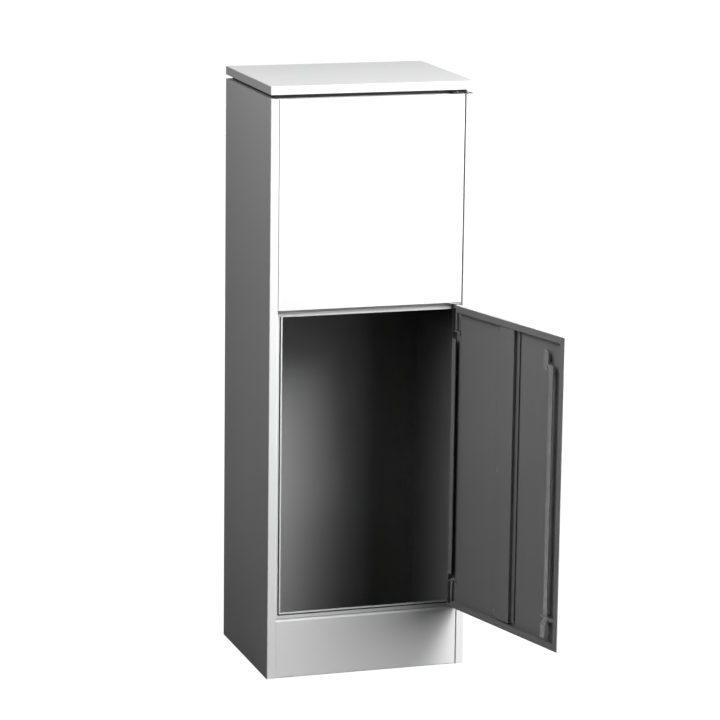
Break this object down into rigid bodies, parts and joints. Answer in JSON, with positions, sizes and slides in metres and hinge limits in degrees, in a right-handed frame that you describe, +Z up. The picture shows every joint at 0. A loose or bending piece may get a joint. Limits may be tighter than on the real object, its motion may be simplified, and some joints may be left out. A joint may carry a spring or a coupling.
{
  "type": "two-compartment parcel and mail locker",
  "caption": "Free-standing folded-steel mail locker: flat lid, shut upper door, and a side-hung lower door standing open with a cam lock and drop rod.",
  "frame": {"origin": "centre of the footprint, on the floor, in the plane of the base pan's underside", "axes": "+X to the right seen from the front, +Y to the back, +Z up; the doors face -Y and are hung on the right"},
  "size_m": [0.531, 0.7316, 1.287],
  "materials": {
    "white_sheet": "fine satin powder coat",
    "inner_sheet": "fine satin powder coat",
    "zinc_steel": "bright zinc plate",
    "lock_chrome": "satin chrome",
    "black_plastic": "matte",
    "dark_collar": "dark satin powder coat",
    "foam_tape": "matte",
    "magnet_ferrite": "matte"
  },
  "bodies": {
    "cabinet": {"side_panel_left": "white_sheet", "side_panel_right": "white_sheet", "back_panel": "white_sheet", "back_rivets": "white_sheet", "upper_back_plate": "inner_sheet", "base_pan": "inner_sheet", "plinth_panel": "white_sheet", "divider_shelf": "inner_sheet", "transom_channel": "inner_sheet", "lower_stop_frame": "white_sheet", "upper_stop_frame": "white_sheet", "top_panel": "white_sheet", "lid_collar": "dark_collar", "lid": "white_sheet", "lid_base_plate": "white_sheet", "lid_screws": "zinc_steel", "upper_pivot_plate": "dark_collar", "lower_bush_bottom": "black_plastic", "lower_bush_top": "black_plastic", "upper_bush_bottom": "black_plastic", "upper_bush_top": "black_plastic", "doorway_seal": "foam_tape", "catch_magnets": "magnet_ferrite"},
    "lower_door": {"lower_door_tray": "white_sheet", "lower_stiffener": "inner_sheet", "lower_stiffener_tapes": "foam_tape", "lower_stiffener_rivets": "zinc_steel", "lower_hinge_bracket_top": "zinc_steel", "lower_hinge_bracket_bottom": "zinc_steel", "lock_body": "lock_chrome", "lock_nut": "zinc_steel", "rod_guide": "zinc_steel"},
    "lower_pin_top": {"lower_hinge_pin_top": "zinc_steel"},
    "lower_pin_bottom": {"lower_hinge_pin_bottom": "zinc_steel"},
    "lock_cam": {"lock_plug": "lock_chrome", "cam_lever": "zinc_steel", "cam_screw": "zinc_steel"},
    "drop_rod": {"lock_rod": "zinc_steel", "rod_rivet": "zinc_steel"},
    "upper_door": {"upper_door_tray": "white_sheet", "upper_stiffener": "inner_sheet", "upper_stiffener_tapes": "foam_tape", "upper_stiffener_rivets": "zinc_steel", "upper_hinge_bracket_top": "zinc_steel", "upper_hinge_bracket_bottom": "zinc_steel"},
    "upper_pin_top": {"upper_hinge_pin_top": "zinc_steel"},
    "upper_pin_bottom": {"upper_hinge_pin_bottom": "zinc_steel"}
  },
  "joints": [
    {"name": "lower_door_hinge", "type": "hinge", "parent": "cabinet", "child": "lower_door", "pos_m": [0.1965, -0.1685, 0.4675], "axis": [0, 0, 1], "range_deg": [-105, 5]},
    {"name": "upper_door_hinge", "type": "hinge", "parent": "cabinet", "child": "upper_door", "pos_m": [0.1885, -0.1685, 1.034], "axis": [0, 0, 1], "range_deg": [0, 135]},
    {"name": "lock_cam_turn", "type": "hinge", "parent": "lower_door", "child": "lock_cam", "pos_m": [0.29091, -0.49572, 0.732], "axis": [-0.9659, -0.2588, 0], "range_deg": [-90, 0]},
    {"name": "drop_rod_turn", "type": "hinge", "parent": "lock_cam", "child": "drop_rod", "pos_m": [0.29557, -0.5131, 0.732], "axis": [-0.9659, -0.2588, 0], "range_deg": [0, 92.1]},
    {"name": "lower_pin_top_slide", "type": "slide", "parent": "lower_door", "child": "lower_pin_top", "axis": [0, 0, 1], "range_m": [-0.006, 0]},
    {"name": "lower_pin_bottom_slide", "type": "slide", "parent": "lower_door", "child": "lower_pin_bottom", "axis": [0, 0, 1], "range_m": [0, 0.0075]},
    {"name": "upper_pin_top_slide", "type": "slide", "parent": "upper_door", "child": "upper_pin_top", "axis": [0, 0, 1], "range_m": [-0.0065, 0]},
    {"name": "upper_pin_bottom_slide", "type": "slide", "parent": "upper_door", "child": "upper_pin_bottom", "axis": [0, 0, 1], "range_m": [0, 0.0045]}
  ],
  "couplings": [
    {"joint": "drop_rod_turn", "follows": "lock_cam_turn", "ratio": -1.0223}
  ]
}
